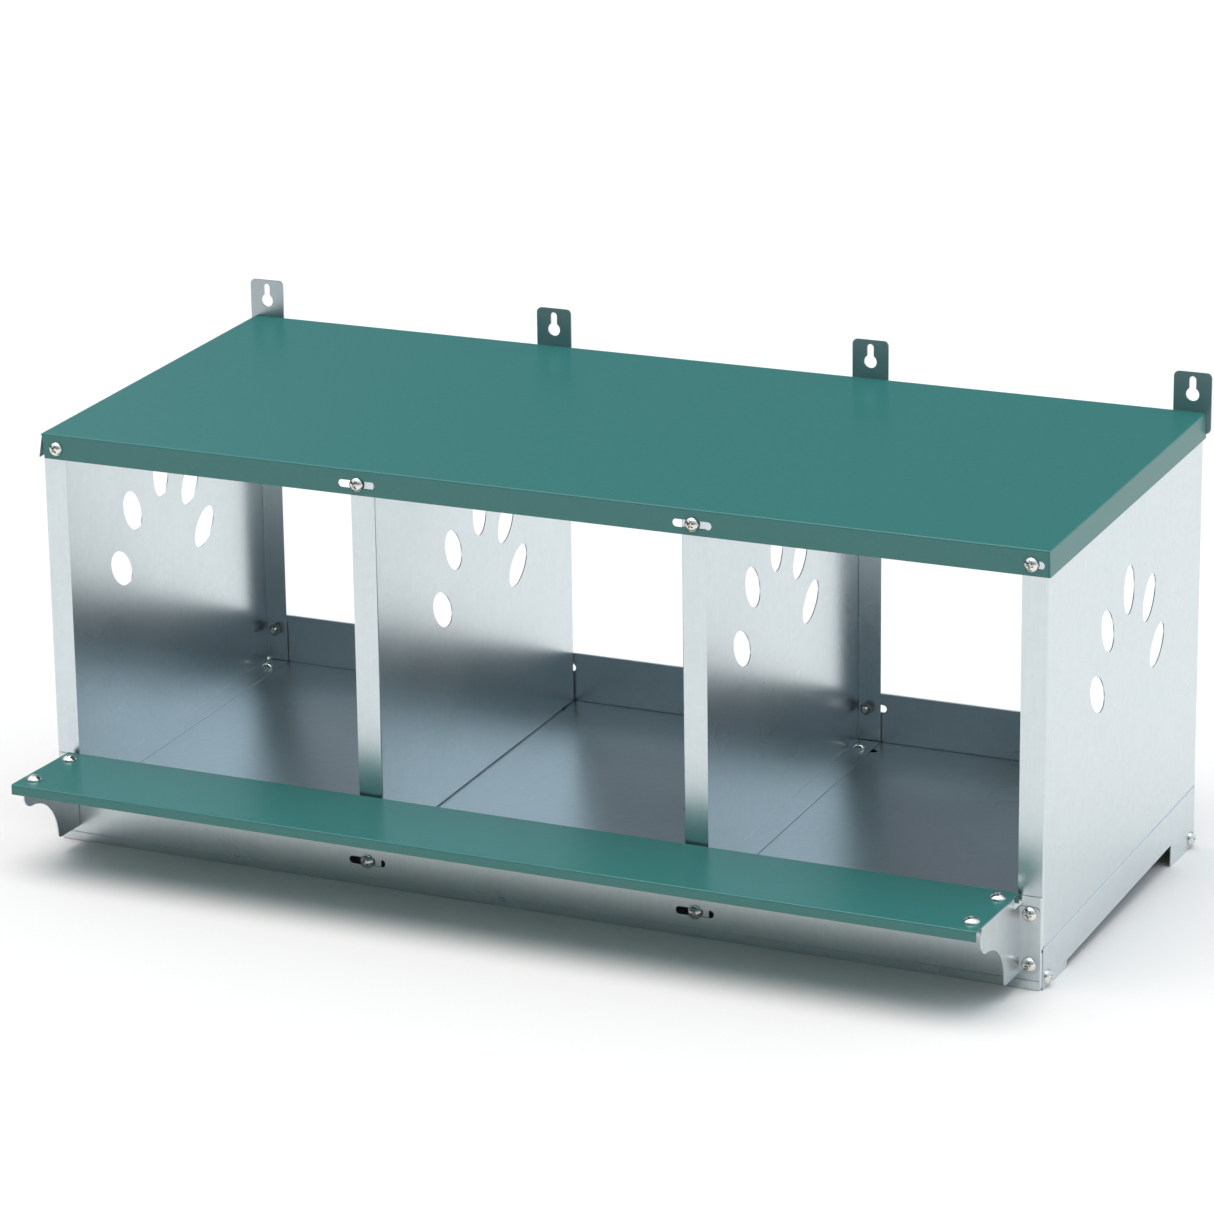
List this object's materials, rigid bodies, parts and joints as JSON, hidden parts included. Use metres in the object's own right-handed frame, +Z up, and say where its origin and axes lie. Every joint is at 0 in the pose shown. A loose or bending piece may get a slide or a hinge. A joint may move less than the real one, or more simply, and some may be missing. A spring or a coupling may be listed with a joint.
{
  "type": "nesting box",
  "caption": "Folded sheet-steel poultry nesting box with open side-by-side bays, sloping roof and floor, a front perch on brackets, sliding dividers and keyhole wall hangers.",
  "frame": {"origin": "centre of the footprint (perch, box and rear screw heads included) at ground level", "axes": "+X to the right for someone facing the entrances, +Y to the rear, +Z up"},
  "size_m": [0.909, 0.4711, 0.4125],
  "materials": {
    "green_coat": "semi-matte green powder coat on steel sheet",
    "galvanised_sheet": "bright galvanised sheet with a fine rolling grain",
    "galvanised_plate": "galvanised plate, slightly duller than the sheet",
    "zinc_plated": "bright zinc-plated screws and nuts"
  },
  "bodies": {
    "box": {"roof_panel": "green_coat", "perch_board": "green_coat", "left_side_panel": "galvanised_sheet", "right_side_panel": "galvanised_sheet", "floor_panel": "galvanised_sheet", "front_board": "galvanised_sheet", "rear_board": "galvanised_sheet", "perch_bracket_left": "galvanised_plate", "perch_bracket_right": "galvanised_plate", "hanger_left": "galvanised_plate", "hanger_right": "galvanised_plate", "roof_front_screws": "zinc_plated", "roof_front_nuts": "zinc_plated", "outer_hanger_screws": "zinc_plated", "outer_hanger_nuts": "zinc_plated", "rear_board_screws": "zinc_plated", "rear_board_nuts": "zinc_plated", "side_panel_floor_screws": "zinc_plated", "side_panel_floor_nuts": "zinc_plated", "perch_bracket_screws": "zinc_plated", "perch_bracket_nuts": "zinc_plated", "perch_screws": "zinc_plated", "perch_nuts": "zinc_plated", "skirt_screws": "zinc_plated", "skirt_nuts": "zinc_plated"},
    "divider_left": {"divider_left": "galvanised_sheet", "hanger_divider_left": "galvanised_plate", "divider_left_screws": "zinc_plated", "divider_left_nuts": "zinc_plated"},
    "divider_right": {"divider_right": "galvanised_sheet", "hanger_divider_right": "galvanised_plate", "divider_right_screws": "zinc_plated", "divider_right_nuts": "zinc_plated"}
  },
  "joints": [
    {"name": "divider_left_slide", "type": "slide", "parent": "box", "child": "divider_left", "axis": [1, 0, 0], "range_m": [-0.013, 0.013]},
    {"name": "divider_right_slide", "type": "slide", "parent": "box", "child": "divider_right", "axis": [1, 0, 0], "range_m": [-0.013, 0.013]}
  ]
}
